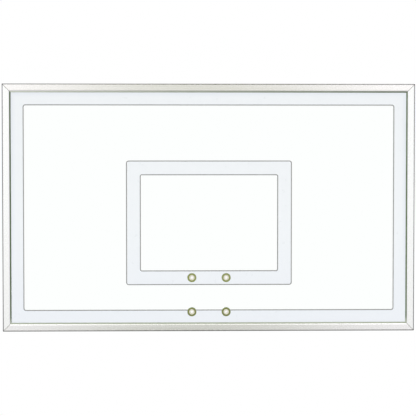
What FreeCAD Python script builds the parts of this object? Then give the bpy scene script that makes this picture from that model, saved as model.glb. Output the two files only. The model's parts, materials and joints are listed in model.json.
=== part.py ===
import FreeCAD, Part
import os
import re
import Sketcher

# Basketball backboard: a printed glass panel, glazed into a mitred frame of hollow aluminium bars.
# Millimetres. Seen from the court, +X is right, +Z is up and -Y points at the viewer.
# The origin is the middle of the four rear mounting holes, on the flat back of the frame.

SIZES = {
    # Outline of the board, measured over the frame
    "board_width": 1524.0,
    "board_height": 914.4,
    # Section of the frame bar: walls, the chamber along the outer edge, the chamber at the back
    "frame_wall": 2.5,
    "edge_chamber": 8.0,
    "rear_chamber": 19.3,
    # The pocket that holds the glass, and the lip in front of it
    "pocket_depth": 14.0,
    "lip_edge": 1.5,
    "lip_bevel": 3.5,
    "lip_bevel_drop": 1.5,
    # Rounded outer edges of the bar, and what is cut back at each mitred end
    "front_radius": 5.0,
    "back_radius": 1.5,
    "mitre_trim": 0.35,
    # Glass panel, with eased edges
    "glass_thickness": 12.7,
    "glass_arris": 0.8,
    # U-shaped gasket round the edge of the glass
    "gasket_leg": 2.0,
    "gasket_base": 3.0,
    "gasket_show": 4.8,
    "gasket_tip": 0.8,
    # Fired print on the front of the glass
    "print_thickness": 0.2,
    "print_gap": 0.5,
    "keyline_width": 3.5,
    "border_width": 51.0,
    "border_radius": 8.0,
    "target_width": 609.6,
    "target_height": 457.2,
    "target_line": 50.8,
    "target_rise": 172.7,
    "target_outer_radius": 8.0,
    "target_inner_radius": 6.0,
    # Rim holes and the rings in them
    "rim_spacing_across": 127.0,
    "rim_spacing_up": 127.0,
    "rim_rise": 71.1,
    "rim_hole": 33.0,
    "sleeve_diameter": 20.0,
    "rim_bolt_hole": 10.5,
    "ring_fit": 0.1,
    # Corner keys, bonded into the rear chamber
    "key_reach": 58.0,
    "key_fit": 0.2,
    "key_bevel": 3.0,
    # Rear mounting holes and the tapped bars behind them
    "mount_spacing": 508.0,
    "mount_hole": 14.0,
    "bar_overhang": 50.0,
    "bar_thickness": 8.0,
    "bar_fit": 0.3,
    "bar_bevel": 2.0,
    "bar_bore": 10.8,
    "bar_screw_margin": 14.0,
    # Countersunk screws, flush with the back
    "screw_diameter": 5.0,
    "screw_length": 10.0,
    "screw_land": 0.25,
    "screw_fit": 0.2,
    "thread_fit": 0.05,
}

# Sizes that follow from the ones above. Insets run inwards from the outer edge of the frame,
# depths run back from its front face and offsets run forwards from its back face.
FORMULAS = {
    "lip": "lip_edge + lip_bevel_drop",
    "pocket_floor": "frame_wall + edge_chamber + frame_wall",
    "face": "pocket_floor + pocket_depth",
    "glass_front": "lip + gasket_leg",
    "glass_back": "glass_front + glass_thickness",
    "pocket_back": "glass_back + gasket_leg",
    "rear_front": "pocket_back + frame_wall",
    "rear_back": "rear_front + rear_chamber",
    "frame_depth": "rear_back + frame_wall",
    "glass_inset": "pocket_floor + gasket_base",
    "nose_inset": "face + gasket_show",
    "half_line": "keyline_width / 2",
    "border_outer_inset": "nose_inset + print_gap",
    "border_inset": "face + border_width",
    "board_bottom": "-board_height / 2",
    "target_bottom": "board_bottom + target_rise",
    "rim_low": "board_bottom + rim_rise",
    "print_hole_radius": "rim_hole / 2 + print_gap",
    "key_end": "face + key_reach",
    "bar_end": "mount_spacing / 2 + bar_overhang",
    "bar_near": "frame_wall + bar_fit",
    "bar_far": "face - frame_wall - bar_fit",
    "bar_screw_out": "bar_end - bar_screw_margin",
    "screw_cone": "frame_wall - screw_land",
    "screw_head": "screw_diameter + 2 * screw_cone",
}

LYING_SIDES = ("top", "bottom")
UPRIGHT_SIDES = ("left", "right")
COUNTERSINK_ANGLE = 90

doc = FreeCAD.newDocument("Backboard")
sheet = doc.addObject("Spreadsheet::Sheet", "Sizes")
nodes = []


# Sheet and formulas

def fill_sheet():
    """Write each size to a row of the sheet: its name, its value and an alias."""
    for row, (alias, value) in enumerate(SIZES.items(), start=1):
        sheet.set(f"A{row}", alias)
        sheet.set(f"B{row}", str(value))
        sheet.setAlias(f"B{row}", alias)
    doc.recompute()


def formula(text):
    """Spell a formula in size names as an expression on the sheet."""
    def spell(match):
        word = match.group(0)
        if word in FORMULAS:
            return f"({formula(FORMULAS[word])})"
        return f"Sizes.{word}" if word in SIZES else word
    return re.sub(r"[a-z_]+", spell, text)


def value(text):
    """Work out a formula with the sizes as they stand."""
    return float(sheet.evalExpression(formula(text)))


def across(side, inset):
    """Place, across a bar of the frame, of a point at an inset from the board's outer edge."""
    extent = "board_height" if side in LYING_SIDES else "board_width"
    sign = 1 if side in ("top", "right") else -1
    return f"{sign} * ({extent} / 2 - ({inset}))"


# Bodies, sketches and features

def new_body(label):
    """Start a sub-part as a body and list it as a node."""
    body = doc.addObject("PartDesign::Body", label)
    body.Label = label
    nodes.append(body)
    return body


def new_sketch(body, name, role, offset="0"):
    """Attach a sketch to one of the body's own planes, moved along the plane's normal."""
    plane = next(item for item in body.Origin.OriginFeatures if item.Role == role)
    sketch = body.newObject("Sketcher::SketchObject", f"{body.Label}_{name}")
    sketch.AttachmentSupport = [(plane, "")]
    sketch.MapMode = "FlatFace"
    sketch.setExpression("AttachmentOffset.Base.z", formula(offset))
    return sketch


def constrain(sketch, text, kind, *where):
    """Add a dimension whose value is a formula."""
    index = sketch.addConstraint(Sketcher.Constraint(kind, *where, value(text)))
    sketch.setExpression(f"Constraints[{index}]", formula(text))


def pin_point(sketch, geometry, position, x, y):
    """Hold a point of the sketch at x, y from its origin."""
    constrain(sketch, x, "DistanceX", -1, 1, geometry, position)
    constrain(sketch, y, "DistanceY", -1, 1, geometry, position)


def draw_circle(sketch, x, y, radius):
    """Draw a circle at x, y."""
    centre = FreeCAD.Vector(value(x), value(y), 0)
    circle = sketch.addGeometry(Part.Circle(centre, FreeCAD.Vector(0, 0, 1), value(radius)))
    pin_point(sketch, circle, 3, x, y)
    constrain(sketch, radius, "Radius", circle)


def bulge_point(start, end, radius, turn):
    """Middle of the short arc from start to end that bulges out of a loop with that turn."""
    chord = end - start
    outwards = FreeCAD.Vector(chord.y, -chord.x, 0).normalize() * turn
    height = radius - (radius ** 2 - (chord.Length / 2) ** 2) ** 0.5
    return (start + end) / 2 + outwards * height


def draw_loop(sketch, stations):
    """Draw a closed loop through (x, y) stations; (x, y, radius) starts an arc that bulges outwards."""
    points = [FreeCAD.Vector(value(station[0]), value(station[1]), 0) for station in stations]
    following = points[1:] + points[:1]
    area = sum(a.x * b.y - b.x * a.y for a, b in zip(points, following))
    turn = 1 if area > 0 else -1
    pieces = []
    for station, start, end in zip(stations, points, following):
        if len(station) == 2:
            pieces.append((sketch.addGeometry(Part.LineSegment(start, end)), 1, 2))
            continue
        middle = bulge_point(start, end, value(station[2]), turn)
        arc = sketch.addGeometry(Part.Arc(start, middle, end))
        first = 1 if sketch.getPoint(arc, 1).distanceToPoint(start) < start.distanceToPoint(end) / 2 else 2
        pieces.append((arc, first, 3 - first))
    for (piece, first, last), (next_piece, next_first, next_last) in zip(pieces, pieces[1:] + pieces[:1]):
        sketch.addConstraint(Sketcher.Constraint("Coincident", piece, last, next_piece, next_first))
    for station, (piece, first, last) in zip(stations, pieces):
        pin_point(sketch, piece, first, station[0], station[1])
        if len(station) == 3:
            constrain(sketch, station[2], "Radius", piece)


def rectangle(left, right, low, high):
    """Stations of a plain rectangle."""
    return [(left, low), (right, low), (right, high), (left, high)]


def rounded_rectangle(left, right, low, high, radius):
    """Stations of a rectangle with rounded corners."""
    return [
        (f"{left} + {radius}", low),
        (f"{right} - {radius}", low, radius),
        (right, f"{low} + {radius}"),
        (right, f"{high} - {radius}", radius),
        (f"{right} - {radius}", high),
        (f"{left} + {radius}", high, radius),
        (left, f"{high} - {radius}"),
        (left, f"{low} + {radius}", radius),
    ]


def add_pad(body, sketch, length):
    """Pad a sketch along its normal, which is towards the court on an XZ plane."""
    pad = body.newObject("PartDesign::Pad", f"{body.Label}_pad")
    pad.Profile = sketch
    pad.setExpression("Length", formula(length))
    doc.recompute()
    return pad


def add_pocket(body, sketch, name, depth=None):
    """Cut a sketch towards the court: to a depth, or right through."""
    pocket = body.newObject("PartDesign::Pocket", f"{body.Label}_{name}")
    pocket.Profile = sketch
    pocket.Reversed = True
    if depth is None:
        pocket.Type = "ThroughAll"
    else:
        pocket.setExpression("Length", formula(depth))
    doc.recompute()
    return pocket


def check_cut(feature):
    """Stop if a cut that has to take material away took none."""
    if feature.Shape.Volume >= feature.BaseFeature.Shape.Volume:
        raise RuntimeError(f"{feature.Label} cuts nothing")


# Frame bars and gaskets, all four mitred the same way

def section_place(side, inset, depth):
    """Turn a point of a bar's section into a point of the sketch that the bar is padded from."""
    y = f"({depth}) - frame_depth"
    if side in LYING_SIDES:
        return (y, across(side, inset))
    return (across(side, inset), y)


def mitre_triangle(side, end):
    """Triangle that cuts one end of a bar at 45 degrees, from beyond its outer to beyond its inner edge."""
    run = "board_width" if side in LYING_SIDES else "board_height"
    outside = "-face"
    inside = "face + nose_inset"

    def place(along_inset, across_inset):
        along = f"{end} * ({run} / 2 - mitre_trim - ({along_inset}))"
        sideways = across(side, across_inset)
        return (along, sideways) if side in LYING_SIDES else (sideways, along)

    return [place(outside, outside), place(outside, inside), place(inside, inside)]


def mitred_bar(label, side, loops):
    """Pad the loops of a section along one side of the board and cut both ends to 45 degrees."""
    lying = side in LYING_SIDES
    run = "board_width" if lying else "board_height"
    body = new_body(label)
    section = new_sketch(body, "section", "YZ_Plane" if lying else "XY_Plane", f"-{run} / 2")
    for loop in loops:
        draw_loop(section, [section_place(side, *station[:2]) + station[2:] for station in loop])
    add_pad(body, section, run)
    ends = new_sketch(body, "mitres", "XZ_Plane")
    for end in (-1, 1):
        draw_loop(ends, mitre_triangle(side, end))
    check_cut(add_pocket(body, ends, "mitre_cut"))
    return body


def bar_loops():
    """Section of a frame bar: its outline with the glazing pocket, and its two closed chambers."""
    outline = [
        ("0", "front_radius", "front_radius"),
        ("front_radius", "0"),
        ("face - lip_bevel", "0"),
        ("face", "lip_bevel_drop"),
        ("face", "lip"),
        ("pocket_floor", "lip"),
        ("pocket_floor", "pocket_back"),
        ("face", "pocket_back"),
        ("face", "frame_depth - back_radius", "back_radius"),
        ("face - back_radius", "frame_depth"),
        ("back_radius", "frame_depth", "back_radius"),
        ("0", "frame_depth - back_radius"),
    ]
    edge_chamber = rectangle("frame_wall", "pocket_floor - frame_wall", "lip", "pocket_back")
    rear_chamber = rectangle("frame_wall", "face - frame_wall", "rear_front", "rear_back")
    return [outline, edge_chamber, rear_chamber]


def gasket_loops():
    """Section of the gasket: a channel that grips the glass, with a rounded nose on both legs."""
    return [[
        ("pocket_floor", "lip"),
        ("face", "lip", "gasket_show"),
        ("nose_inset", "glass_front - gasket_tip"),
        ("nose_inset", "glass_front"),
        ("glass_inset", "glass_front"),
        ("glass_inset", "glass_back"),
        ("nose_inset", "glass_back"),
        ("nose_inset", "glass_back + gasket_tip", "gasket_show"),
        ("face", "pocket_back"),
        ("pocket_floor", "pocket_back"),
    ]]


def mount_places(side):
    """Places of the mounting holes in the back of the top or the bottom rail."""
    return [(f"{hand} * mount_spacing / 2", across(side, "face / 2")) for hand in (-1, 1)]


def bar_screw_places(side):
    """Places of the screws that hold the mount bar of the top or the bottom rail."""
    return [(f"{hand} * bar_screw_out", across(side, "face / 2")) for hand in (-1, 0, 1)]


def countersink(body, places):
    """Drill and countersink the back wall of a rail for flush screws."""
    points = new_sketch(body, "screw_points", "XZ_Plane")
    for x, z in places:
        draw_circle(points, x, z, "screw_diameter / 2 + screw_fit")
    doc.recompute()
    hole = body.newObject("PartDesign::Hole", f"{body.Label}_screw_holes")
    hole.Profile = points
    hole.Reversed = True
    hole.Threaded = False
    hole.DepthType = "Dimension"
    hole.DrillPoint = "Flat"
    hole.HoleCutType = "Countersink"
    hole.HoleCutCustomValues = True
    hole.HoleCutCountersinkAngle = COUNTERSINK_ANGLE
    hole.setExpression("Diameter", formula("screw_diameter + 2 * screw_fit"))
    hole.setExpression("HoleCutDiameter", formula("screw_head + 2 * screw_fit"))
    hole.setExpression("Depth", formula("frame_wall + rear_chamber / 2"))
    doc.recompute()
    check_cut(hole)


def drilled_rail(side):
    """Top or bottom rail, drilled from the back for the mounting bolts and the mount bar's screws."""
    body = mitred_bar(f"{side}_rail", side, bar_loops())
    mounts = new_sketch(body, "mount_points", "XZ_Plane")
    for x, z in mount_places(side):
        draw_circle(mounts, x, z, "mount_hole / 2")
    check_cut(add_pocket(body, mounts, "mount_holes", "frame_wall + rear_chamber / 2"))
    countersink(body, bar_screw_places(side))


# Glass and the print on it

def rim_places():
    """Centres of the four rim holes, the corners of a square."""
    rows = ("rim_low", "rim_low + rim_spacing_up")
    columns = ("-rim_spacing_across / 2", "rim_spacing_across / 2")
    return [(x, z) for z in rows for x in columns]


def inset_box(inset):
    """Left, right, low and high of the rectangle at an inset from the board's outer edge."""
    return [across(side, inset) for side in ("left", "right", "bottom", "top")]


def glass_panel():
    """The glass: one plate with four drilled holes and eased edges."""
    body = new_body("glass_panel")
    outline = new_sketch(body, "outline", "XZ_Plane", "frame_depth - glass_back")
    draw_loop(outline, rectangle(*inset_box("glass_inset")))
    for x, z in rim_places():
        draw_circle(outline, x, z, "rim_hole / 2")
    plate = add_pad(body, outline, "glass_thickness")
    flat_edges = [
        f"Edge{number}"
        for number, edge in enumerate(plate.Shape.Edges, start=1)
        if edge.BoundBox.YLength < edge.Length / 2
    ]
    arris = body.newObject("PartDesign::Chamfer", "glass_panel_arris")
    arris.Base = (plate, flat_edges)
    arris.setExpression("Size", formula("glass_arris"))


def print_ring(label, outer, inner):
    """A printed band between two loops, on the front of the glass and clear of the rim holes."""
    body = new_body(label)
    band = new_sketch(body, "band", "XZ_Plane", "frame_depth - glass_front")
    draw_loop(band, outer)
    draw_loop(band, inner)
    add_pad(body, band, "print_thickness")
    holes = new_sketch(body, "holes", "XZ_Plane")
    for x, z in rim_places():
        draw_circle(holes, x, z, "print_hole_radius")
    add_pocket(body, holes, "rim_holes")


def border_loop(grow):
    """Inner edge of the border, moved outwards by a formula."""
    return rounded_rectangle(*inset_box(f"border_inset - ({grow})"), f"(border_radius + {grow})")


def target_loop(line, radius, grow):
    """Edge of the target at a depth into its line, moved outwards by a formula."""
    half_width = f"(target_width / 2 - {line} + {grow})"
    low = f"(target_bottom + {line} - ({grow}))"
    high = f"(target_bottom + target_height - {line} + {grow})"
    return rounded_rectangle(f"-{half_width}", half_width, low, high, f"({radius} + {grow})")


def printed_marks():
    """White border and target, with a grey keyline centred on each free edge."""
    in_line = "(-half_line)"
    out_line = "half_line"
    print_ring("border_print", rectangle(*inset_box("border_outer_inset")), border_loop(out_line))
    print_ring("border_keyline", border_loop(out_line), border_loop(in_line))
    target_outer = ("0", "target_outer_radius")
    target_inner = ("target_line", "target_inner_radius")
    print_ring("target_outer_keyline", target_loop(*target_outer, out_line), target_loop(*target_outer, in_line))
    print_ring("target_print", target_loop(*target_outer, in_line), target_loop(*target_inner, out_line))
    print_ring("target_inner_keyline", target_loop(*target_inner, out_line), target_loop(*target_inner, in_line))


# Round pieces whose axis points at the court

def towards_court(kind, name, x, offset, z):
    """Place a primitive at x, z and an offset from the back, with its own axis pointing at the court."""
    piece = doc.addObject(kind, name)
    piece.Placement = FreeCAD.Placement(FreeCAD.Vector(), FreeCAD.Rotation(FreeCAD.Vector(1, 0, 0), 90))
    piece.setExpression("Placement.Base.x", formula(x))
    piece.setExpression("Placement.Base.y", formula(f"-({offset})"))
    piece.setExpression("Placement.Base.z", formula(z))
    return piece


def glass_deep_cylinder(name, x, z, radius):
    """A cylinder from the back to the front of the glass."""
    cylinder = towards_court("Part::Cylinder", name, x, "frame_depth - glass_back", z)
    cylinder.setExpression("Radius", formula(radius))
    cylinder.setExpression("Height", formula("glass_thickness"))
    return cylinder


def rim_ring(name, x, z, outer_radius, inner_radius):
    """A plain ring in one rim hole, flush with both faces of the glass."""
    ring = doc.addObject("Part::Cut", name)
    ring.Base = glass_deep_cylinder(f"{name}_outside", x, z, outer_radius)
    ring.Tool = glass_deep_cylinder(f"{name}_bore", x, z, inner_radius)
    return ring


def flush_screw(name, x, z):
    """One countersunk screw, its head flush with the back: a cone fused to a shank."""
    head = towards_court("Part::Cone", f"{name}_head", x, "0", z)
    head.setExpression("Radius1", formula("screw_head / 2"))
    head.setExpression("Radius2", formula("screw_diameter / 2"))
    head.setExpression("Height", formula("screw_cone"))
    shank = towards_court("Part::Cylinder", f"{name}_shank", x, "0", z)
    shank.setExpression("Radius", formula("screw_diameter / 2"))
    shank.setExpression("Height", formula("screw_length"))
    screw = doc.addObject("Part::Fuse", name)
    screw.Base = head
    screw.Tool = shank
    return screw


def group(label, pieces):
    """Keep alike pieces as separate solids of one node."""
    node = doc.addObject("Part::Compound", label)
    node.Label = label
    node.Links = pieces
    nodes.append(node)


def rim_rings():
    """A rubber grommet in each rim hole and a nylon sleeve in each grommet."""
    rings = {
        "rim_grommets": ("rim_hole / 2 - ring_fit", "sleeve_diameter / 2 + ring_fit"),
        "rim_sleeves": ("sleeve_diameter / 2", "rim_bolt_hole / 2"),
    }
    for label, radii in rings.items():
        group(label, [rim_ring(f"{label}_{count}", *place, *radii) for count, place in enumerate(rim_places())])


# Pieces inside the rear chamber

def corner_key(label, upright_side, lying_side):
    """L-shaped key that joins a rail and a stile, bonded against their rear walls."""
    near = "frame_wall + key_fit"
    far = "face - frame_wall - key_fit"
    insets = [
        (f"{near} + key_bevel", near),
        ("key_end - key_bevel", near),
        ("key_end", f"{near} + key_bevel"),
        ("key_end", f"{far} - key_bevel"),
        ("key_end - key_bevel", far),
        (far, far),
        (far, "key_end - key_bevel"),
        (f"{far} - key_bevel", "key_end"),
        (f"{near} + key_bevel", "key_end"),
        (near, "key_end - key_bevel"),
        (near, f"{near} + key_bevel"),
    ]
    body = new_body(label)
    outline = new_sketch(body, "outline", "XZ_Plane", "frame_wall")
    draw_loop(outline, [(across(upright_side, u), across(lying_side, w)) for u, w in insets])
    add_pad(body, outline, "rear_chamber - key_fit")


def mount_bar(side):
    """Steel bar behind the back wall of a rail, tapped for the mounting bolts."""
    outline = [
        ("bar_bevel - bar_end", "bar_near"),
        ("bar_end - bar_bevel", "bar_near"),
        ("bar_end", "bar_near + bar_bevel"),
        ("bar_end", "bar_far - bar_bevel"),
        ("bar_end - bar_bevel", "bar_far"),
        ("bar_bevel - bar_end", "bar_far"),
        ("-bar_end", "bar_far - bar_bevel"),
        ("-bar_end", "bar_near + bar_bevel"),
    ]
    body = new_body(f"mount_bar_{side}")
    sketch = new_sketch(body, "outline", "XZ_Plane", "frame_wall")
    draw_loop(sketch, [(x, across(side, inset)) for x, inset in outline])
    for x, z in mount_places(side):
        draw_circle(sketch, x, z, "bar_bore / 2")
    for x, z in bar_screw_places(side):
        draw_circle(sketch, x, z, "screw_diameter / 2 + thread_fit")
    add_pad(body, sketch, "bar_thickness")


def chamber_pieces():
    """Corner keys, mount bars and the bars' screws."""
    for lying_side in LYING_SIDES:
        for upright_side in UPRIGHT_SIDES:
            corner_key(f"corner_key_{lying_side}_{upright_side}", upright_side, lying_side)
        mount_bar(lying_side)
    places = [place for side in LYING_SIDES for place in bar_screw_places(side)]
    group("mount_bar_screws", [flush_screw(f"bar_screw_{count}", *place) for count, place in enumerate(places)])


# The whole board

def check_document():
    """Stop if any object failed, or any node is empty or not valid."""
    for item in doc.Objects:
        if "Invalid" in item.State or "Error" in item.State:
            raise RuntimeError(f"{item.Label} failed: {item.State}")
    for node in nodes:
        if node.Shape.isNull() or not node.Shape.isValid() or not node.Shape.Solids:
            raise RuntimeError(f"{node.Label} has no valid shape")


def build():
    """Build every node of the board and write each to its own file."""
    fill_sheet()
    for side in LYING_SIDES:
        drilled_rail(side)
    for side in UPRIGHT_SIDES:
        mitred_bar(f"{side}_stile", side, bar_loops())
    for side in LYING_SIDES + UPRIGHT_SIDES:
        mitred_bar(f"{side}_gasket", side, gasket_loops())
    glass_panel()
    printed_marks()
    rim_rings()
    chamber_pieces()
    doc.recompute()
    check_document()
    os.makedirs("parts", exist_ok=True)
    for node in nodes:
        node.Shape.exportStep(f"parts/{node.Label}.step")
        print(f"{node.Label}: {len(node.Shape.Solids)} solids, {node.Shape.Volume:.1f} cubic mm")


build()
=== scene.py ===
"""Basketball backboard: a tempered glass board in a mitred aluminium frame, dressed for a studio picture.

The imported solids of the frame, the print, the gaskets and the metal inside the frame stand as they are and
are given their finishes here. The glass, the rim bushes, their sleeves and the socket screws are modelled
again with the small forms that the plain solids leave out, and each of them stands where its solid is.
"""
from __future__ import annotations

import json
import logging
import math
from dataclasses import dataclass
from enum import Enum
from typing import Any, Sequence, Union

import bmesh
import bpy
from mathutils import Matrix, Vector

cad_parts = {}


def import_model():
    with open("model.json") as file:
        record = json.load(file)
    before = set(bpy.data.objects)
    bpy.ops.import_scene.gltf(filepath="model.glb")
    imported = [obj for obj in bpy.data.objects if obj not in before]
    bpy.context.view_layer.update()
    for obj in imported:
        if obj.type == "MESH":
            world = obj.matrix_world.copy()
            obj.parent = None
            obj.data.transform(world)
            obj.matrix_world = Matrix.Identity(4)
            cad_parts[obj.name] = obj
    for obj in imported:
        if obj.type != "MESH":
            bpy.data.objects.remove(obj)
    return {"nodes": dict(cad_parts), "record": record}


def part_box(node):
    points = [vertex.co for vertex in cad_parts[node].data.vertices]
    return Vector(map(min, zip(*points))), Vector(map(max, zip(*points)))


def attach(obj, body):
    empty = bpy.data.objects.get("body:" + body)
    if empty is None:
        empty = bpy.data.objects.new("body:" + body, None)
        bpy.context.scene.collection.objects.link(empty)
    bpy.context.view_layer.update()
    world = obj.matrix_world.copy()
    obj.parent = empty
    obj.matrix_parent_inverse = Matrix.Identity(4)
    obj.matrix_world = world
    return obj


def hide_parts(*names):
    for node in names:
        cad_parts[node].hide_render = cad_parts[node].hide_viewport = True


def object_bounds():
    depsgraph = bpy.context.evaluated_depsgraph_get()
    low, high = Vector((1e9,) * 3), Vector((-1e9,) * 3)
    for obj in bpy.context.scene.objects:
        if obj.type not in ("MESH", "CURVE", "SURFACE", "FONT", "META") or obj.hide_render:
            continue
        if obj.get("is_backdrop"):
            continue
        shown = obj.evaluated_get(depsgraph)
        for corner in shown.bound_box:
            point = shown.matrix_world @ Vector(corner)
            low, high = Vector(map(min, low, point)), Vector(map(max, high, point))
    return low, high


LOG = logging.getLogger("backboard")

MM = 0.001
BODY = "root"
WHITE = (1.0, 1.0, 1.0, 1.0)
CORNERS = ("top_left", "top_right", "bottom_left", "bottom_right")

# An edge between two faces that meet at more than this stays sharp.
SHARP_FROM = math.radians(40)

# Nearly all of a noise lies between these two tones.
NOISE_LOW = 0.3
NOISE_HIGH = 0.7

# The Mix node has one set of sockets for each kind of data, so its colour sockets are known by number.
MIX_A = 6
MIX_B = 7
MIX_RESULT = 2

# Short names for the type hints. A link starts at an output, or at a node, whose first output is meant.
Tree = bpy.types.NodeTree
Link = Union[bpy.types.NodeSocket, bpy.types.Node]
Nodes = dict[str, bpy.types.Object]
Pair = tuple[float, float]


class Grain(Enum):
    """The way a bar was drawn through its die."""

    LYING = "lying"
    UPRIGHT = "upright"

    def along_and_across(self, along: float, across: float) -> tuple[float, float, float]:
        """Returns one value for each axis: the grain's own axis gets along, the other two get across."""
        return (along, across, across) if self is Grain.LYING else (across, across, along)


def linear(hex_colour: str) -> tuple[float, float, float, float]:
    """Turns an sRGB hex colour to linear light.

    Args:
        hex_colour: The colour as "#RRGGBB".

    Returns:
        Red, green, blue and an alpha of 1.
    """
    channels = [int(hex_colour[start:start + 2], 16) / 255 for start in (1, 3, 5)]
    light = [c / 12.92 if c <= 0.04045 else ((c + 0.055) / 1.055) ** 2.4 for c in channels]
    return (light[0], light[1], light[2], 1.0)


def per_metre(size_mm: float) -> float:
    """Returns the pattern scale, in repeats per metre, of a feature of that many millimetres."""
    return 1 / (size_mm * MM)


def add_node(tree: Tree, kind: str, inputs: dict[str | int, Any] | None = None,
             **settings: Any) -> bpy.types.Node:
    """Adds a node with its settings, its values and its links.

    Args:
        tree: The tree that the node joins.
        kind: Blender's name for the kind of node.
        inputs: A value or a link for each socket, by its name or number.
        settings: Properties of the node itself.

    Returns:
        The new node.
    """
    node = tree.nodes.new(kind)
    for name, value in settings.items():
        setattr(node, name, value)
    for key, value in (inputs or {}).items():
        source = value.outputs[0] if isinstance(value, bpy.types.Node) else value
        if isinstance(source, bpy.types.NodeSocket):
            tree.links.new(source, node.inputs[key])
        else:
            node.inputs[key].default_value = source
    return node


@dataclass(frozen=True)
class Skin:
    """How a surface breaks up a reflection: its least and its greatest roughness, and its relief."""

    smoothest: float
    roughest: float
    relief: float
    depth: float = 0.1 * MM

    def add_to(self, tree: Tree, tone: Link, height: Link) -> dict[str, Link]:
        """Adds an uneven roughness and a fine relief.

        Args:
            tree: The material's tree.
            tone: A noise, low where the surface is smooth and high where it is rough.
            height: The height of the relief.

        Returns:
            The links for the shader's own roughness and normal.
        """
        roughness = add_node(tree, "ShaderNodeMapRange", {
            "Value": tone, "From Min": NOISE_LOW, "From Max": NOISE_HIGH,
            "To Min": self.smoothest, "To Max": self.roughest})
        bumps = add_node(tree, "ShaderNodeBump", {
            "Height": height, "Strength": self.relief, "Distance": self.depth})
        return {"Roughness": roughness, "Normal": bumps}


@dataclass(frozen=True)
class Finish:
    """A finish: the name of its material, the record's slot that it belongs to, and its main colour."""

    name: str
    slot: str
    colour: str

    def material(self) -> bpy.types.Material:
        """Makes the finish's material, the first time it is asked for.

        Returns:
            The material.
        """
        made = bpy.data.materials.get(self.name)
        if made is None:
            made = bpy.data.materials.new(self.name)
            made.use_nodes = True
            made.node_tree.nodes.clear()
            surface = self.surface(made.node_tree)
            add_node(made.node_tree, "ShaderNodeOutputMaterial", {"Surface": surface})
        return made

    def surface(self, tree: Tree) -> Link:
        """Adds the finish's nodes to a tree and returns the shader that they end in."""
        raise NotImplementedError

    def axes(self, tree: Tree) -> bpy.types.NodeOutputs:
        """Returns a place's X, Y and Z in the piece's own coordinates."""
        place = add_node(tree, "ShaderNodeTexCoord")
        return add_node(tree, "ShaderNodeSeparateXYZ", {"Vector": place.outputs["Object"]}).outputs

    def scaled_space(self, tree: Tree, size_mm: Sequence[float]) -> Link:
        """Adds the piece's own coordinates, scaled for a pattern.

        Args:
            tree: The material's tree.
            size_mm: The size of the pattern's features along each axis.

        Returns:
            The coordinates, counted in features.
        """
        place = add_node(tree, "ShaderNodeTexCoord")
        return add_node(tree, "ShaderNodeMapping", {
            "Vector": place.outputs["Object"], "Scale": [per_metre(size) for size in size_mm]})

    def cloud(self, tree: Tree, size_mm: Sequence[float], detail: float, breakup: float = 0.5) -> Link:
        """Adds soft random patches that lie still on the piece.

        Args:
            tree: The material's tree.
            size_mm: The size of the patches along each axis.
            detail: How many times finer patches are laid over them.
            breakup: How strong each finer layer is.

        Returns:
            The tone of the patches, from 0 to 1.
        """
        return add_node(tree, "ShaderNodeTexNoise", {
            "Vector": self.scaled_space(tree, size_mm), "Scale": 1.0, "Detail": detail, "Roughness": breakup})

    def layered(self, tree: Tree, ground: str, layers: Sequence[tuple[Link, str]]) -> Link:
        """Lays tones over a ground colour, one upon the other.

        Args:
            tree: The material's tree.
            ground: The colour under them all.
            layers: How much of each tone shows, and its colour, from the lowest to the highest.

        Returns:
            The colour that the eye sees.
        """
        colour: Any = linear(ground)
        for share, tone in layers:
            colour = add_node(tree, "ShaderNodeMix", {
                0: share, MIX_A: colour, MIX_B: linear(tone)}, data_type="RGBA").outputs[MIX_RESULT]
        return colour


@dataclass(frozen=True)
class RectangleFinish(Finish):
    """A finish that changes towards the edges of a rectangle about the board's middle."""

    shade: str
    half_size: Pair

    def inside(self, tree: Tree) -> list[Link]:
        """Measures how far inside the rectangle a place is.

        Args:
            tree: The material's tree.

        Returns:
            The distance from the nearer side, and the distance from the nearer of top and bottom.
        """
        axes = self.axes(tree)
        distances = []
        for axis, half in zip("XZ", self.half_size):
            out = add_node(tree, "ShaderNodeMath", {0: axes[axis]}, operation="ABSOLUTE")
            distances.append(add_node(tree, "ShaderNodeMath", {0: half, 1: out}, operation="SUBTRACT"))
        return distances


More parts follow.
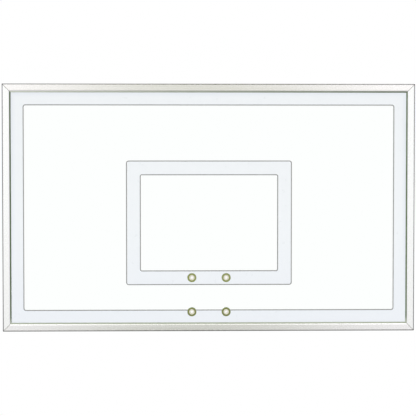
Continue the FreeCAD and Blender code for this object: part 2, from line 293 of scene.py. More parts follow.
@dataclass(frozen=True)
class SatinAnodisedAluminium(RectangleFinish):
    """Extruded, etched and clear anodised aluminium.

    The die leaves fine lines along the bar, so a highlight is drawn out across it, and the etch turns the
    metal's mirror into a soft satin. The rounded outer edges are scuffed where the board has been handled,
    and their front is painted near black, a painted shade for the dark reflection in the rounding. Grime has
    settled along the mitres.
    """

    grain: Grain
    front: float
    # A near-black painted shade on the front of the outer edges, standing for the dark reflection in their
    # rounding.
    edge_shade: str = "#3C3C3C"
    grime: str = "#A3A29B"
    skin: Skin = Skin(0.24, 0.3, relief=0.06)
    line_mm: float = 4.5
    line_run_mm: float = 900.0
    die_mm: float = 0.9
    scuff_mm: float = 14.0
    scuff_tones: Pair = (0.5, 0.7)
    scuff_most: float = 0.16
    scuff_band: float = 7 * MM
    edge_shade_band: float = 5.6 * MM
    edge_shade_depth: Pair = (3 * MM, 12 * MM)
    grime_band: float = 2.4 * MM

    def surface(self, tree: Tree) -> Link:
        """Adds die lines, scuffed edges with a painted shade along their front, dark mitres and a drawn-out
        gloss.

        Args:
            tree: The material's tree.

        Returns:
            The shader.
        """
        # Die lines are about 1 mm apart. The tone lines are drawn 4.5 mm wide, so that they show from afar.
        tone = self.cloud(tree, self.grain.along_and_across(self.line_run_mm, self.line_mm), detail=3.0)
        from_side, from_end = self.inside(tree)
        from_edge = from_end if self.grain is Grain.LYING else from_side
        off_mitre = add_node(tree, "ShaderNodeMath", {0: from_side, 1: from_end}, operation="SUBTRACT")
        beside_mitre = add_node(tree, "ShaderNodeMath", {0: off_mitre}, operation="ABSOLUTE")
        # The front of the outer edges is painted near black, a painted shade for the dark reflection in their
        # rounding.
        near_front = add_node(tree, "ShaderNodeMapRange", {
            "Value": self.axes(tree)["Y"], "From Min": self.front + self.edge_shade_depth[0],
            "From Max": self.front + self.edge_shade_depth[1], "To Min": 1.0, "To Max": 0.0},
            interpolation_type="SMOOTHSTEP")
        grimy, edge_shaded = (
            add_node(tree, "ShaderNodeMapRange", {
                "Value": distance, "From Max": band, "To Min": most, "To Max": 0.0},
                interpolation_type="SMOOTHSTEP")
            for distance, band, most in (
                (beside_mitre, self.grime_band, 1.0),
                (from_edge, self.edge_shade_band, near_front)))
        colour = self.layered(tree, self.shade, (
            (tone, self.colour), (grimy, self.grime), (edge_shaded, self.edge_shade)))

        die = self.cloud(tree, self.grain.along_and_across(self.line_run_mm, self.die_mm), detail=2.0)
        satin = self.skin.add_to(tree, tone, die)
        scuff = self.cloud(tree, (self.scuff_mm,) * 3, detail=6.0, breakup=0.7)
        marks = add_node(tree, "ShaderNodeMapRange", {
            "Value": scuff, "From Min": self.scuff_tones[0], "From Max": self.scuff_tones[1],
            "To Min": 0.0, "To Max": self.scuff_most})
        edge = add_node(tree, "ShaderNodeMapRange", {
            "Value": from_edge, "From Max": self.scuff_band, "To Min": 1.0, "To Max": 0.0})
        worn = add_node(tree, "ShaderNodeMath", {0: marks, 1: edge}, operation="MULTIPLY")
        roughness = add_node(tree, "ShaderNodeMath", {0: satin["Roughness"], 1: worn}, operation="ADD")

        tangent = add_node(tree, "ShaderNodeCombineXYZ", dict(
            zip("XYZ", self.grain.along_and_across(0.0, 1.0))))
        return add_node(tree, "ShaderNodeBsdfPrincipled", {
            **satin, "Base Color": colour, "Metallic": 1.0, "Roughness": roughness, "Anisotropic": 0.6,
            "Tangent": tangent})


@dataclass(frozen=True)
class FiredEnamel(RectangleFinish):
    """Screen-printed ceramic enamel, fired into the glass.

    It is opaque, a little uneven in thickness, and half as glossy as the glass. It is painted a little
    greyer next to the frame and on the lower half of the board, a painted shade for the shadow of the frame's
    lip and for light that falls from above.
    """

    painted_shade: str
    shade_reach: float
    bottom_shade: float = 0.62
    skin: Skin = Skin(0.26, 0.38, relief=0.08)
    mottle_mm: float = 38.0
    peel_mm: float = 3.0

    def surface(self, tree: Tree) -> Link:
        """Adds the uneven print, its painted shade and the fired skin.

        Args:
            tree: The material's tree.

        Returns:
            The shader.
        """
        mottle = self.cloud(tree, (self.mottle_mm,) * 3, detail=4.0, breakup=0.6)
        from_side, from_end = self.inside(tree)
        # The print is painted greyer next to the frame and towards the bottom: a painted shade for the frame
        # lip's shadow and for light from above.
        nearest = add_node(tree, "ShaderNodeMath", {0: from_side, 1: from_end}, operation="MINIMUM")
        frame_shaded, lower_share = (
            add_node(tree, "ShaderNodeMapRange", {
                "Value": value, "From Min": begins, "From Max": ends, "To Min": most, "To Max": 0.0},
                interpolation_type="SMOOTHSTEP")
            for value, begins, ends, most in (
                (nearest, 0.0, self.shade_reach, 1.0),
                (self.axes(tree)["Z"], -self.half_size[1], 0.0, self.bottom_shade)))
        added_tone = add_node(tree, "ShaderNodeMath", {0: frame_shaded, 1: lower_share}, operation="MAXIMUM")
        colour = self.layered(tree, self.shade, ((mottle, self.colour), (added_tone, self.painted_shade)))

        # A fired skin ripples at about 1 mm. It is drawn 3 mm wide, so that a highlight shows it.
        peel = self.cloud(tree, (self.peel_mm,) * 3, detail=1.0)
        return add_node(tree, "ShaderNodeBsdfPrincipled", {
            **self.skin.add_to(tree, mottle, peel), "Base Color": colour, "IOR": 1.5})


@dataclass(frozen=True)
class TemperedGlass(Finish):
    """Clear float glass, tempered on rollers.

    It is colourless face on and greenish through its edge. The rollers leave long shallow waves, which bend
    a reflection without blurring it.
    """

    # The waves run across the board, follow each other up it, and hardly change through its thickness.
    wave_mm: tuple[float, float, float] = (1040.0, 1000.0, 260.0)
    wave_relief: float = 0.05
    wave_depth: float = 0.2 * MM

    def surface(self, tree: Tree) -> Link:
        """Adds clear glass with roller waves that lets light straight through to what is behind it.

        Args:
            tree: The material's tree.

        Returns:
            The shader.
        """
        rolled = add_node(tree, "ShaderNodeBump", {
            "Height": self.cloud(tree, self.wave_mm, detail=0.0), "Strength": self.wave_relief,
            "Distance": self.wave_depth})
        shader = add_node(tree, "ShaderNodeBsdfPrincipled", {
            "Base Color": linear(self.colour), "Roughness": 0.0, "IOR": 1.52, "Transmission Weight": 1.0,
            "Normal": rolled})
        clear = add_node(tree, "ShaderNodeBsdfTransparent", {"Color": linear(self.colour)})
        rays = add_node(tree, "ShaderNodeLightPath").outputs
        for ray in ("Is Diffuse Ray", "Is Shadow Ray"):
            shader = add_node(tree, "ShaderNodeMixShader", {0: rays[ray], 1: shader, 2: clear})
        return shader


@dataclass(frozen=True)
class GroundGlass(Finish):
    """Glass that a diamond wheel or drill has ground.

    The tool leaves a matt, pale and slightly green skin of fine pits, which scatters the light in the edge.
    """

    shade: str
    skin: Skin = Skin(0.5, 0.66, relief=0.2)
    pit_mm: float = 1.5

    def surface(self, tree: Tree) -> Link:
        """Adds the pitted skin.

        Args:
            tree: The material's tree.

        Returns:
            The shader.
        """
        # Pits are about 0.1 mm across. They are drawn 1.5 mm wide, so that they show in a close look.
        pits = self.cloud(tree, (self.pit_mm,) * 3, detail=4.0)
        colour = self.layered(tree, self.shade, ((pits, self.colour),))
        return add_node(tree, "ShaderNodeBsdfPrincipled", {
            **self.skin.add_to(tree, pits, pits), "Base Color": colour, "IOR": 1.52})


@dataclass(frozen=True)
class Rubber(Finish):
    """Extruded or moulded rubber.

    It is matt and soft, with a fine grain from its die or mould and a pale bloom where it has aged. Below a
    height it takes another tone, on the bottom gasket a painted light from above, and a long strip can be
    painted lighter towards its left, a painted highlight.
    """

    bloom: str
    bloom_mm: float
    grain_mm: float
    added_tone: str
    added_tone_below: float
    added_tone_fade: float = 25 * MM
    bloom_tones: Pair = (0.4, 0.75)
    painted_light_colour: str = "#FFFFFF"
    painted_light_share: float = 0.0
    painted_light_reach: float = 1.0
    skin: Skin = Skin(0.64, 0.8, relief=0.25)

    def surface(self, tree: Tree) -> Link:
        """Adds the bloom, the lower tone, the painted highlight at the left end and the matt grain.

        Args:
            tree: The material's tree.

        Returns:
            The shader.
        """
        aged = self.cloud(tree, (self.bloom_mm,) * 3, detail=5.0, breakup=0.65)
        patches = add_node(tree, "ShaderNodeMapRange", {
            "Value": aged, "From Min": self.bloom_tones[0], "From Max": self.bloom_tones[1]})
        axes = self.axes(tree)
        # Below a height the rubber takes another tone. On the gaskets it is lighter along the bottom, a
        # painted light for light from above; on the bushes the lower row is darker.
        lower_share = add_node(tree, "ShaderNodeMapRange", {
            "Value": axes["Z"], "From Min": self.added_tone_below, "From Max": self.added_tone_below + self.added_tone_fade,
            "To Min": 1.0, "To Max": 0.0}, interpolation_type="SMOOTHSTEP")
        # A painted highlight: the strip is painted lighter towards its left end.
        painted_lit = add_node(tree, "ShaderNodeMapRange", {
            "Value": axes["X"], "From Min": -self.painted_light_reach, "From Max": self.painted_light_reach,
            "To Min": self.painted_light_share, "To Max": 0.0})
        colour = self.layered(tree, self.colour, (
            (patches, self.bloom), (lower_share, self.added_tone), (painted_lit, self.painted_light_colour)))
        grain = self.cloud(tree, (self.grain_mm,) * 3, detail=3.0)
        return add_node(tree, "ShaderNodeBsdfPrincipled", {
            **self.skin.add_to(tree, aged, grain), "Base Color": colour, "IOR": 1.52, "Sheen Weight": 0.08})


@dataclass(frozen=True)
class TurnedNylon(Finish):
    """Natural nylon rod, turned on a lathe.

    It is milky and lets a little light into its surface, and the tool leaves close rings round the bore.
    """

    shade: str
    skin: Skin = Skin(0.38, 0.5, relief=0.15, depth=0.05 * MM)
    ring_mm: float = 0.8
    stain_mm: float = 5.0

    def surface(self, tree: Tree) -> Link:
        """Adds handling stains and the tool's rings.

        Args:
            tree: The material's tree.

        Returns:
            The shader.
        """
        stain = self.cloud(tree, (self.stain_mm,) * 3, detail=4.0)
        colour = self.layered(tree, self.shade, ((stain, self.colour),))
        # The piece carries its distance from its own bore's axis, because four sleeves share one mesh.
        turned = add_node(tree, "ShaderNodeAttribute", attribute_name="from_axis")
        turns = add_node(tree, "ShaderNodeMath", {
            0: turned.outputs["Fac"], 1: 2 * math.pi * per_metre(self.ring_mm)}, operation="MULTIPLY")
        rings = add_node(tree, "ShaderNodeMath", {0: turns}, operation="SINE")
        return add_node(tree, "ShaderNodeBsdfPrincipled", {
            **self.skin.add_to(tree, stain, rings), "Base Color": colour, "IOR": 1.53})


@dataclass(frozen=True)
class PlainMetal(Finish):
    """A bare or plated metal that is not brushed: zinc plate, or aluminium as it leaves the mill.

    Its crystals or its rolling leave patches that reflect a little differently, with no direction to them.
    """

    shade: str
    patch_mm: float
    skin: Skin
    fine_per_patch: float = 3.0

    def surface(self, tree: Tree) -> Link:
        """Adds the patches and the dull reflection.

        Args:
            tree: The material's tree.

        Returns:
            Adds the patches and the blurred reflection.
        """
        space = self.scaled_space(tree, (self.patch_mm,) * 3)
        patches = add_node(tree, "ShaderNodeTexVoronoi", {"Vector": space, "Scale": 1.0})
        fine = add_node(tree, "ShaderNodeTexNoise", {
            "Vector": space, "Scale": self.fine_per_patch, "Detail": 4.0})
        tone = add_node(tree, "ShaderNodeMath", {0: patches, 1: fine}, operation="MULTIPLY")
        colour = self.layered(tree, self.colour, ((tone, self.shade),))
        return add_node(tree, "ShaderNodeBsdfPrincipled", {
            **self.skin.add_to(tree, fine, fine), "Base Color": colour, "Metallic": 1.0})


@dataclass(frozen=True)
class StudioFloor(Finish):
    """Matt pale paper that keeps the object's shadow and fades into the white background at its rim.

    It shows from above only, so that the board can be looked at from below as well.
    """

    fade_from: float
    fade_to: float

    def surface(self, tree: Tree) -> Link:
        """Adds the paper and its fade.

        Args:
            tree: The material's tree.

        Returns:
            The shader.
        """
        paper = add_node(tree, "ShaderNodeBsdfDiffuse", {"Color": linear(self.colour)})
        white = add_node(tree, "ShaderNodeEmission", {"Strength": 1.0})
        axes = self.axes(tree)
        flat = add_node(tree, "ShaderNodeCombineXYZ", {"X": axes["X"], "Y": axes["Y"]})
        radius = add_node(tree, "ShaderNodeVectorMath", {0: flat}, operation="LENGTH")
        fade = add_node(tree, "ShaderNodeMapRange", {
            "Value": radius.outputs["Value"], "From Min": self.fade_from, "From Max": self.fade_to},
            interpolation_type="SMOOTHSTEP")
        rays = add_node(tree, "ShaderNodeLightPath").outputs
        seen = add_node(tree, "ShaderNodeMath", {
            0: rays["Is Camera Ray"], 1: rays["Is Transmission Ray"]}, operation="MAXIMUM")
        mixed = add_node(tree, "ShaderNodeMath", {0: seen, 1: fade}, operation="MULTIPLY")
        above = add_node(tree, "ShaderNodeMixShader", {0: mixed, 1: paper, 2: white})
        below = add_node(tree, "ShaderNodeBsdfTransparent")
        side = add_node(tree, "ShaderNodeNewGeometry")
        return add_node(tree, "ShaderNodeMixShader", {0: side.outputs["Backfacing"], 1: above, 2: below})


def new_tree(name: str, sizes: dict[str, str]) -> tuple[Tree, bpy.types.NodeOutputs]:
    """Starts a Geometry Nodes tree with named inputs.

    Args:
        name: The tree's name.
        sizes: The kind of each input after the geometry, by the input's name.

    Returns:
        The tree, and what it is given by name.
    """
    tree = bpy.data.node_groups.new(name, "GeometryNodeTree")
    tree.interface.new_socket("Geometry", in_out="INPUT", socket_type="NodeSocketGeometry")
    for size, kind in sizes.items():
        tree.interface.new_socket(size, in_out="INPUT", socket_type="NodeSocket" + kind)
    tree.interface.new_socket("Geometry", in_out="OUTPUT", socket_type="NodeSocketGeometry")
    return tree, add_node(tree, "NodeGroupInput").outputs


def end_tree(tree: Tree, given: bpy.types.NodeOutputs, instance: Link) -> None:
    """Ends a tree: the shape is set on each point, made real and given its material.

    Args:
        tree: The tree to end.
        given: What it is given by name.
        instance: The shape to repeat.
    """
    repeated = add_node(tree, "GeometryNodeInstanceOnPoints", {
        "Points": given["Geometry"], "Instance": instance})
    real = add_node(tree, "GeometryNodeRealizeInstances", {"Geometry": repeated})
    dressed = add_node(tree, "GeometryNodeSetMaterial", {"Geometry": real, "Material": given["Material"]})
    add_node(tree, "NodeGroupOutput", {"Geometry": dressed})


def grow(name: str, tree: Tree, places: list[Vector], sizes: dict[str, Any]) -> bpy.types.Object:
    """Makes a piece from points and a Geometry Nodes tree, and leaves it as a plain mesh.

    Args:
        name: The piece's name.
        tree: The tree that makes its shape.
        places: The points that the tree works on.
        sizes: The tree's inputs by name.

    Returns:
        The finished object, at the origin.
    """
    points = bpy.data.meshes.new(name + "_points")
    points.from_pydata([tuple(place) for place in places], [], [])
    piece = bpy.data.objects.new(name, points)
    bpy.context.scene.collection.objects.link(piece)
    modifier = piece.modifiers.new(tree.name, "NODES")
    modifier.node_group = tree
    for socket in tree.interface.items_tree:
        if socket.in_out == "INPUT" and socket.name in sizes:
            modifier[socket.identifier] = sizes[socket.name]
    evaluated = piece.evaluated_get(bpy.context.evaluated_depsgraph_get())
    mesh = bpy.data.meshes.new_from_object(evaluated)
    piece.modifiers.remove(modifier)
    piece.data = mesh
    mesh.name = name
    mesh.shade_smooth()
    mesh.set_sharp_from_angle(angle=SHARP_FROM)
    bpy.data.meshes.remove(points)
    return piece


def stand_for(piece: bpy.types.Object, node: str) -> None:
    """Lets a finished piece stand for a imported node.

    Args:
        piece: The piece, at the origin.
        node: The node whose place it takes.
    """
    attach(piece, BODY)
    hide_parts(node)
    LOG.info("%s stands for %s, %d faces", piece.name, node, len(piece.data.polygons))


def dress_nodes(nodes: Nodes, names: Sequence[str], finish: Finish) -> None:
    """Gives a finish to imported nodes, which stay where they are.

    Args:
        nodes: The frame's nodes by name.
        names: The nodes to dress.
        finish: Their finish.
    """
    for name in names:
        for slot in nodes[name].material_slots:
            slot.material = finish.material()
        LOG.info("%s dressed in %s", name, finish.name)


def mount_named(record: dict[str, Any], name: str) -> dict[str, Any]:
    """Returns the record's mount of that name."""
    return next(mount for mount in record["mounts"] if mount["name"] == name)


def bolt_places(mount: dict[str, Any]) -> list[Vector]:
    """Finds the bolts of a rectangular pattern.

    Args:
        mount: The record's mount.

    Returns:
        The four bolt places, on the mount's own plane.
    """
    centre = Vector(mount["pos_m"])
    half_x = mount["dims"]["spacing_x_mm"] * MM / 2
    half_z = mount["dims"]["spacing_y_mm"] * MM / 2
    return [centre + Vector((x, 0, z)) for x in (-half_x, half_x) for z in (-half_z, half_z)]


@dataclass
class FrameBars:
    """The two rails and two stiles, with the keys inside their mitres."""

    half_size: Pair
    front: float
    # Each set of bars has its own tone. The lower rail is painted darker, a painted shade for the darker room
    # that it mirrors.
    bar_tones_and_shade: tuple[tuple[str, Grain, tuple[str, ...], str, str], ...] = (
        ("upper", Grain.LYING, ("top_rail",), "#F5F2F4", "#EEEBED"),
        ("lower", Grain.LYING, ("bottom_rail",), "#EDEBEE", "#E6E4E7"),
        ("upright", Grain.UPRIGHT, ("left_stile", "right_stile"), "#F3F3F5", "#EDEDEF"))

    def dress(self, nodes: Nodes) -> None:
        """Gives each bar satin aluminium with the grain along its length, and the keys bare metal.

        Args:
            nodes: The frame's nodes by name.
        """
        for bar_set, grain, names, light, shade in self.bar_tones_and_shade:
            dress_nodes(nodes, names, SatinAnodisedAluminium(
                f"satin_anodised_aluminium_{bar_set}", "anodised_aluminium", light, shade, self.half_size,
                grain, self.front))
        dress_nodes(nodes, [f"corner_key_{corner}" for corner in CORNERS], PlainMetal(
            "mill_finish_aluminium", "mill_aluminium", "#C9CACB", "#A9ABAD", patch_mm=6.0,
            skin=Skin(0.35, 0.49, relief=0.1, depth=0.05 * MM)))


@dataclass
class GlassBoard:
    """The glass, its fired print and the gaskets that hold it in the frame."""

    half_size: Pair
    frame_face: float
    gasket_show: float = 5 * MM
    # How far from the frame the print is painted greyer, as a painted shade.
    shade_reach: float = 26 * MM
    contact: float = 0.04 * MM
    weld: float = 0.001 * MM
    # A face is one of the two broad ones if its normal points this much to the front or the back.
    broad: float = 0.99
    # The top gasket is painted lighter towards its left end, a painted highlight where the light catches it.
    painted_light_share: tuple[tuple[str, float], ...] = (("top", 1.0), ("bottom", 0.0), ("left", 0.0), ("right", 0.0))

    def lay_glass(self, solid: bpy.types.Object) -> None:
        """Makes the glass a hair larger than its solid, so that what touches it lies in its surface.

        The enamel is fused to the glass and the rubber clings to it. Two faces in one place would show as
        specks where the print is seen through the glass.

        Args:
            solid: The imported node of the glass.
        """
        clear = TemperedGlass("tempered_float_glass", "tempered_glass", "#FDFFFE")
        ground = GroundGlass("ground_glass_edge", "tempered_glass", "#DDE5DF", "#CFD8D1")
        shape = bmesh.new()
        shape.from_mesh(solid.data)
        bmesh.ops.remove_doubles(shape, verts=shape.verts, dist=self.weld)
        shape.normal_update()
        for corner in shape.verts:
            corner.co += corner.normal * self.contact
        # The broad faces are clear. The edges and the walls of the holes are ground.
        for face in shape.faces:
            face.material_index = int(abs(face.normal.y) < self.broad)
        mesh = bpy.data.meshes.new("glass_panel_fused")
        shape.to_mesh(mesh)
        shape.free()
        for finish in (clear, ground):
            mesh.materials.append(finish.material())
        mesh.shade_flat()
        piece = bpy.data.objects.new(mesh.name, mesh)
        bpy.context.scene.collection.objects.link(piece)
        stand_for(piece, "glass_panel")

    def build(self, nodes: Nodes) -> None:
        """Lays the glass, and gives the print and the gaskets their finishes.

        Args:
            nodes: The frame's nodes by name.
        """
        inside = (self.half_size[0] - self.frame_face, self.half_size[1] - self.frame_face)
        self.lay_glass(nodes["glass_panel"])
        dress_nodes(nodes, ["border_print", "target_print"], FiredEnamel(
            "fired_white_enamel", "white_enamel", "#F0F3F6", "#EBEFF2", inside, "#E4E8EF", self.shade_reach))
        dress_nodes(nodes, ["border_keyline", "target_outer_keyline", "target_inner_keyline"], FiredEnamel(
            "fired_grey_enamel", "grey_enamel", "#8B8C8B", "#858685", inside, "#888988", self.shade_reach))
        # The gaskets are painted lighter along the bottom, a painted light for light from above.
        for side, painted_light_share in self.painted_light_share:
            dress_nodes(nodes, [f"{side}_gasket"], Rubber(
                f"extruded_green_rubber_{side}", "gasket_rubber", "#586A4B", "#6B7B5D",
                bloom_mm=45.0, grain_mm=1.2, added_tone="#A9B09E", added_tone_below=self.gasket_show - inside[1],
                painted_light_colour="#D6DBCE", painted_light_share=painted_light_share, painted_light_reach=inside[0]))


@dataclass
class RimBushes:
    """Four rubber bushes in the glass, each round a nylon sleeve that takes a rim bolt."""

    places: list[Vector]
    length: float
    bush_radius: float
    sleeve_radius: float
    bore_radius: float
    fit: float = 0.1 * MM
    bush_edge: float = 1.2 * MM
    sleeve_edge: float = 0.5 * MM
    edge_steps: int = 5
    segments: int = 72

    @classmethod
    def from_frame(cls, record: dict[str, Any]) -> RimBushes:
        """Reads the bushes' places and sizes from the frame.

        Args:
            record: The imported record.

        Returns:
            The four bushes, not yet built.
        """
        mount = mount_named(record, "rim_mount")
        spacing = mount["dims"]["spacing_x_mm"] * MM
        bush_low, bush_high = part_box("rim_grommets")
        sleeve_low, sleeve_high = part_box("rim_sleeves")
        middle = (bush_low[1] + bush_high[1]) / 2
        return cls(
            places=[Vector((place.x, middle, place.z)) for place in bolt_places(mount)],
            length=bush_high[1] - bush_low[1],
            bush_radius=(bush_high[0] - bush_low[0] - spacing) / 2,
            sleeve_radius=(sleeve_high[0] - sleeve_low[0] - spacing) / 2,
            bore_radius=mount["dims"]["hole_r_mm"] * MM)

    def ring_tree(self) -> Tree:
        """Builds the tree that turns a ring with rounded edges about each point, its axis along Y.

        Returns:
            The tree.
        """
        tree, given = new_tree("turned_ring", {
            "Middle Radius": "Float", "Wall": "Float", "Length": "Float", "Edge Radius": "Float",
            "Edge Steps": "Int", "Segments": "Int", "Material": "Material"})
        section = add_node(tree, "GeometryNodeCurvePrimitiveQuadrilateral", {
            "Width": given["Wall"], "Height": given["Length"]})
        rounded = add_node(tree, "GeometryNodeFilletCurve", {
            "Curve": section, "Radius": given["Edge Radius"], "Count": given["Edge Steps"]}, mode="POLY")
        circle = add_node(tree, "GeometryNodeCurvePrimitiveCircle", {
            "Resolution": given["Segments"], "Radius": given["Middle Radius"]})
        ring = add_node(tree, "GeometryNodeCurveToMesh", {"Curve": circle, "Profile Curve": rounded})
        place = add_node(tree, "GeometryNodeInputPosition")
        axes = add_node(tree, "ShaderNodeSeparateXYZ", {"Vector": place}).outputs
        flat = add_node(tree, "ShaderNodeCombineXYZ", {"X": axes["X"], "Y": axes["Y"]})
        from_axis = add_node(tree, "ShaderNodeVectorMath", {0: flat}, operation="LENGTH")
        marked = add_node(tree, "GeometryNodeStoreNamedAttribute", {
            "Geometry": ring, "Name": "from_axis", "Value": from_axis.outputs["Value"]},
            data_type="FLOAT", domain="POINT")
        turned = add_node(tree, "GeometryNodeTransform", {
            "Geometry": marked, "Rotation": (math.pi / 2, 0, 0)})
        end_tree(tree, given, turned)
        return tree

    def build(self) -> None:
        """Makes the bushes and the sleeves in place of their plain solids."""
        tree = self.ring_tree()
        # The lower row of bushes takes a darker tone.
        rubber = Rubber(
            "moulded_olive_rubber", "grommet_rubber", "#868D50", "#939A60", bloom_mm=9.0, grain_mm=0.9,
            added_tone="#787E48", added_tone_below=min(place.z for place in self.places), added_tone_fade=100 * MM)
        nylon = TurnedNylon("turned_natural_nylon", "white_nylon", "#DFDDCC", "#D3D1BF")
        for node, finish, outer, inner, edge in (
                ("rim_grommets", rubber, self.bush_radius, self.sleeve_radius + self.fit, self.bush_edge),
                ("rim_sleeves", nylon, self.sleeve_radius, self.bore_radius, self.sleeve_edge)):
            piece = grow(node + "_turned", tree, self.places, {
                "Middle Radius": (outer + inner) / 2, "Wall": outer - inner, "Length": self.length,
                "Edge Radius": edge, "Edge Steps": self.edge_steps, "Segments": self.segments,
                "Material": finish.material()})
            stand_for(piece, node)


@dataclass
class RearMounting:
    """The tapped steel bars inside the rails and the socket screws that hold them."""

    screw_places: list[Vector]
    screw_length: float
    head_radius: float
    shank_radius: float = 2.5 * MM
    socket_flats: float = 3.0 * MM
    socket_depth: float = 1.9 * MM
    socket_sides: int = 6
    screw_columns: tuple[float, ...] = (-1.0, 0.0, 1.0)
    segments: int = 48

    @classmethod
    def from_frame(cls, record: dict[str, Any]) -> RearMounting:
        """Reads the screws' places and sizes from the frame.

        Args:
            record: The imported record.

        Returns:
            The mounting, not yet built.
        """
        low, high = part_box("mount_bar_screws")
        line = mount_named(record, "rear_mount")["dims"]["spacing_y_mm"] * MM / 2
        head_radius = high[2] - line
        reach = high[0] - head_radius
        places = [Vector((column * reach, high[1], level))
                  for level in (-line, line) for column in cls.screw_columns]
        return cls(screw_places=places, screw_length=high[1] - low[1], head_radius=head_radius)

    def screw_tree(self) -> Tree:
        """Builds the tree of a countersunk socket screw, its flat head at each point and its tip towards -Y.

        Returns:
            The tree.
        """
        tree, given = new_tree("countersunk_socket_screw", {
            "Head Radius": "Float", "Shank Radius": "Float", "Length": "Float", "Socket Radius": "Float",
            "Socket Depth": "Float", "Socket Sides": "Int", "Segments": "Int", "Material": "Material"})
        # A 90 degree head is as deep as its radius is wider than the shank's.
        depth = add_node(tree, "ShaderNodeMath", {
            0: given["Head Radius"], 1: given["Shank Radius"]}, operation="SUBTRACT")
        cone = add_node(tree, "GeometryNodeMeshCone", {
            "Vertices": given["Segments"], "Radius Top": given["Head Radius"],
            "Radius Bottom": given["Shank Radius"], "Depth": depth})
        rod = add_node(tree, "GeometryNodeMeshCylinder", {
            "Vertices": given["Segments"], "Radius": given["Shank Radius"], "Depth": given["Length"]})
        blank = add_node(tree, "GeometryNodeMeshBoolean", operation="UNION", solver="EXACT")
        # A rod is made about its middle, and a cone upwards from its narrow end. Both go below the point.
        for part, size, drop in ((rod, given["Length"], -0.5), (cone, depth, -1.0)):
            down = add_node(tree, "ShaderNodeMath", {0: size, 1: drop}, operation="MULTIPLY")
            shift = add_node(tree, "ShaderNodeCombineXYZ", {"Z": down})
            moved = add_node(tree, "GeometryNodeTransform", {"Geometry": part, "Translation": shift})
            tree.links.new(moved.outputs["Geometry"], blank.inputs["Mesh 2"])
        # The key that cuts the socket has its middle in the head's flat face.
        twice = add_node(tree, "ShaderNodeMath", {0: given["Socket Depth"], 1: 2.0}, operation="MULTIPLY")
        key = add_node(tree, "GeometryNodeMeshCylinder", {
            "Vertices": given["Socket Sides"], "Radius": given["Socket Radius"], "Depth": twice})
        sunk = add_node(tree, "GeometryNodeMeshBoolean", {"Mesh 1": blank, "Mesh 2": key},
                        operation="DIFFERENCE", solver="EXACT")
        turned = add_node(tree, "GeometryNodeTransform", {
            "Geometry": sunk, "Rotation": (-math.pi / 2, 0, 0)})
        end_tree(tree, given, turned)
        return tree

    def build(self, nodes: Nodes) -> None:
        """Makes the screws in place of their plain solids, and dresses the bars.

        Args:
            nodes: The frame's nodes by name.
        """
        zinc = PlainMetal("zinc_plated_steel_bright", "zinc_plated_steel", "#CBCED2", "#A8ADB4", patch_mm=3.0,
                          skin=Skin(0.27, 0.41, relief=0.1, depth=0.05 * MM))
        dress_nodes(nodes, ["mount_bar_top", "mount_bar_bottom"], zinc)
        corner_radius = self.socket_flats / 2 / math.cos(math.pi / self.socket_sides)
        screws = grow("countersunk_screws", self.screw_tree(), self.screw_places, {
            "Head Radius": self.head_radius, "Shank Radius": self.shank_radius, "Length": self.screw_length,
            "Socket Radius": corner_radius, "Socket Depth": self.socket_depth,
            "Socket Sides": self.socket_sides, "Segments": self.segments, "Material": zinc.material()})
        stand_for(screws, "mount_bar_screws")


@dataclass(frozen=True)
class Lamp:
    """A soft lamp far off: the way to it from the board, its strength and how wide it looks from there."""

    name: str
    towards: tuple[float, float, float]
    strength: float
    spread: float


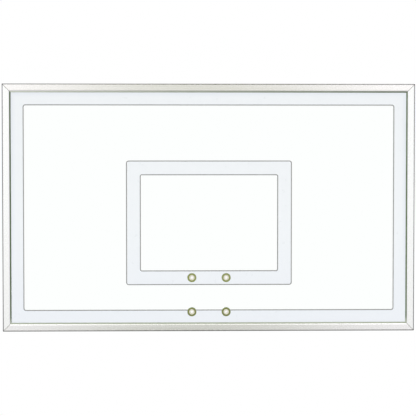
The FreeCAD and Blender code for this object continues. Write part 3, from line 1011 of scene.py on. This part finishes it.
@dataclass(frozen=True)
class MirrorRoom:
    """How bright the room is to each kind of ray.

    The metal mirrors a bright panel straight in front of it and behind it, a wall round each panel, and grey
    beside, above and below it. Between them it is dark, so that the metal's rounded edges show as a line.
    Each pair is where a part of the room begins and where it is full. For what stands beside and round the
    board it is measured by how far a direction points to the front or the back, and for the rest along one
    axis.
    """

    soft_level: float = 0.46
    dark_level: float = 0.24
    beside_level: float = 0.8
    beside: Pair = (0.34, 0.05)
    wall_level: float = 1.08
    wall: Pair = (0.36, 0.6)
    panel_level: float = 1.43
    panel: Pair = (0.86, 0.945)
    stand_colour: str = "#A2A790"
    stand_at: float = 0.017
    stand_width: float = 0.088
    low_level: float = 0.74
    low: Pair = (-0.2, -0.03)
    floor: Pair = (-0.38, -0.62)
    ceiling_level: float = 2.7
    ceiling: Pair = (0.54, 0.66)
    ceiling_front: Pair = (-0.3, -0.6)
    behind_level: float = 0.66
    behind: Pair = (0.0, 0.4)
    left_gain: float = 0.015
    left: Pair = (0.2, -0.2)
    glass_side_level: float = 0.6

    def mirrored(self, tree: Tree) -> tuple[Link, Link]:
        """Adds what a mirror shows of the room in each direction.

        Args:
            tree: The world's tree.

        Returns:
            The colour that metal shows, and the level that glass shows.
        """
        place = add_node(tree, "ShaderNodeTexCoord")
        axes = add_node(tree, "ShaderNodeSeparateXYZ", {"Vector": place.outputs["Generated"]}).outputs
        facing = add_node(tree, "ShaderNodeMath", {0: axes["Y"]}, operation="ABSOLUTE")
        # The walls are darker low down, the floor is pale, and the ceiling is bright in front of the board.
        # The left is a little brighter than the right, and the front than the back.
        glassy, walls, panels, flanks, low, floor, ceiling, in_front, left, behind = (
            add_node(tree, "ShaderNodeMapRange", {
                "Value": way, "From Min": begins, "From Max": full, "To Min": least, "To Max": most},
                interpolation_type="SMOOTHSTEP")
            for way, (begins, full), least, most in (
                (facing, self.wall, self.glass_side_level, 1.0),
                (facing, self.wall, self.dark_level, self.wall_level),
                (facing, self.panel, 0.0, self.panel_level - self.wall_level),
                (facing, self.beside, 0.0, self.beside_level - self.dark_level),
                (axes["Z"], self.low, self.low_level, 1.0),
                (axes["Z"], self.floor, 0.0, 1.0),
                (axes["Z"], self.ceiling, 0.0, self.ceiling_level),
                (axes["Y"], self.ceiling_front, 0.0, 1.0),
                (axes["X"], self.left, 1 - self.left_gain, 1 + self.left_gain),
                (axes["Y"], self.behind, 1.0, self.behind_level)))
        below = add_node(tree, "ShaderNodeMath", {0: low, 1: floor}, operation="MAXIMUM")
        above = add_node(tree, "ShaderNodeMath", {0: ceiling, 1: in_front}, operation="MULTIPLY")
        height = add_node(tree, "ShaderNodeMath", {0: below, 1: above}, operation="MAXIMUM")
        level = walls
        for part, operation in ((panels, "ADD"), (flanks, "ADD"),
                                (height, "MULTIPLY"), (left, "MULTIPLY"), (behind, "MULTIPLY")):
            level = add_node(tree, "ShaderNodeMath", {0: level, 1: part}, operation=operation)

        # The dark of the camera's own stand shows in the middle of the rails, and fades like a bell curve.
        aside = add_node(tree, "ShaderNodeMath", {
            0: axes["X"], 1: 1 / self.stand_width, 2: -self.stand_at / self.stand_width},
            operation="MULTIPLY_ADD")
        squared = add_node(tree, "ShaderNodeMath", {0: aside, 1: aside}, operation="MULTIPLY")
        turned = add_node(tree, "ShaderNodeMath", {0: squared, 1: -1.0}, operation="MULTIPLY")
        bell = add_node(tree, "ShaderNodeMath", {0: turned}, operation="EXPONENT")
        stand = add_node(tree, "ShaderNodeMix", {
            0: bell, MIX_A: WHITE, MIX_B: linear(self.stand_colour)}, data_type="RGBA")
        metal = add_node(tree, "ShaderNodeMix", {0: 1.0, MIX_A: level, MIX_B: stand.outputs[MIX_RESULT]},
                         data_type="RGBA", blend_type="MULTIPLY")
        return metal.outputs[MIX_RESULT], glassy


@dataclass
class Studio:
    """The floor, the soft lamps, the white surroundings and the camera."""

    front: float
    lowest: float
    room: MirrorRoom = MirrorRoom()
    lamps: tuple[Lamp, ...] = (
        Lamp("key_lamp", (-0.60, -0.55, 0.58), 2.62, math.radians(16)),
        Lamp("back_lamp", (0.45, 0.70, 0.55), 2.3, math.radians(16)))
    hang_height: float = 1.2
    floor_radius: float = 4.5
    floor_steps: int = 96
    fade_from: float = 2.0
    image_px: int = 416
    mm_per_px: float = 3.69
    distance: float = 5.5
    camera_x: float = -0.145
    camera_z: float = 0.2
    # The board's middle stands this far right of and above the middle of the picture.
    offset_px: Pair = (1.1, 0.2)
    sensor_mm: float = 36.0

    def lay_floor(self) -> None:
        """Lays a round pale floor below the hanging board."""
        mesh = bpy.data.meshes.new("studio_floor")
        turns = [2 * math.pi * step / self.floor_steps for step in range(self.floor_steps)]
        rim = [(self.floor_radius * math.cos(turn), self.floor_radius * math.sin(turn),
                self.lowest - self.hang_height) for turn in turns]
        mesh.from_pydata(rim, [], [tuple(range(self.floor_steps))])
        floor = bpy.data.objects.new("studio_floor", mesh)
        bpy.context.scene.collection.objects.link(floor)
        paper = StudioFloor("matt_white_paper", "stage", "#D6D6D5", self.fade_from, self.floor_radius)
        mesh.materials.append(paper.material())
        floor.visible_glossy = False
        floor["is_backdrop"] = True

    def hang_lamps(self) -> None:
        """Hangs the soft lamps, far enough off to light the whole board alike."""
        for lamp in self.lamps:
            light = bpy.data.lights.new(lamp.name, "SUN")
            light.energy = lamp.strength
            light.angle = lamp.spread
            hung = bpy.data.objects.new(lamp.name, light)
            hung.rotation_euler = (-Vector(lamp.towards)).to_track_quat("-Z", "Y").to_euler()
            hung.visible_glossy = False
            bpy.context.scene.collection.objects.link(hung)

    def surround(self) -> None:
        """Surrounds the board with white to the eye, soft light, and a room for the metal to mirror."""
        world = bpy.data.worlds.new("white_studio")
        world.use_nodes = True
        # Each kind of ray sees its own brightness, which holds only where the world is met by the ray itself.
        world.cycles.sampling_method = "NONE"
        tree = world.node_tree
        tree.nodes.clear()
        metal, glass = self.room.mirrored(tree)
        rays = add_node(tree, "ShaderNodeLightPath").outputs
        sharp = add_node(tree, "ShaderNodeMath", {
            0: rays["Is Glossy Ray"], 1: rays["Is Singular Ray"]}, operation="MULTIPLY")
        seen = add_node(tree, "ShaderNodeMath", {
            0: rays["Is Camera Ray"], 1: rays["Is Transmission Ray"]}, operation="MAXIMUM")
        colour: Any = (self.room.soft_level,) * 3 + (1.0,)
        for ray, sight in ((rays["Is Glossy Ray"], metal), (sharp, glass), (seen, WHITE)):
            colour = add_node(tree, "ShaderNodeMix", {
                0: ray, MIX_A: colour, MIX_B: sight}, data_type="RGBA").outputs[MIX_RESULT]
        background = add_node(tree, "ShaderNodeBackground", {"Color": colour, "Strength": 1.0})
        add_node(tree, "ShaderNodeOutputWorld", {"Surface": background})
        bpy.context.scene.world = world

    def set_camera(self) -> None:
        """Sets the camera a little left of and above the board's middle, as the photograph was taken."""
        lens = bpy.data.cameras.new("camera")
        lens.sensor_width = self.sensor_mm
        lens.lens = self.sensor_mm * self.distance / (self.image_px * self.mm_per_px * MM)
        camera = bpy.data.objects.new("camera", lens)
        across, up = (px * self.mm_per_px * MM for px in self.offset_px)
        aim = Vector((-across, self.front, -up))
        camera.location = (self.camera_x, self.front - self.distance, self.camera_z)
        camera.rotation_euler = (aim - camera.location).to_track_quat("-Z", "Y").to_euler()
        bpy.context.scene.collection.objects.link(camera)
        bpy.context.scene.camera = camera

    def build(self) -> None:
        """Sets up the whole studio."""
        self.lay_floor()
        self.hang_lamps()
        self.surround()
        self.set_camera()
        bpy.context.scene.view_settings.view_transform = "Standard"


def main() -> None:
    """Loads the frame, dresses its pieces, adds the modelled ones and sets up the studio."""
    logging.basicConfig(level=logging.INFO, format="%(message)s")
    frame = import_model()
    cad_low, cad_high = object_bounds()
    nodes = frame["nodes"]
    record = frame["record"]
    half_size = (cad_high[0], cad_high[2])
    frame_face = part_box("left_stile")[1][0] - cad_low[0]

    FrameBars(half_size, cad_low[1]).dress(nodes)
    GlassBoard(half_size, frame_face).build(nodes)
    RimBushes.from_frame(record).build()
    RearMounting.from_frame(record).build(nodes)
    Studio(front=cad_low[1], lowest=cad_low[2]).build()


if __name__ == "__main__":
    main()
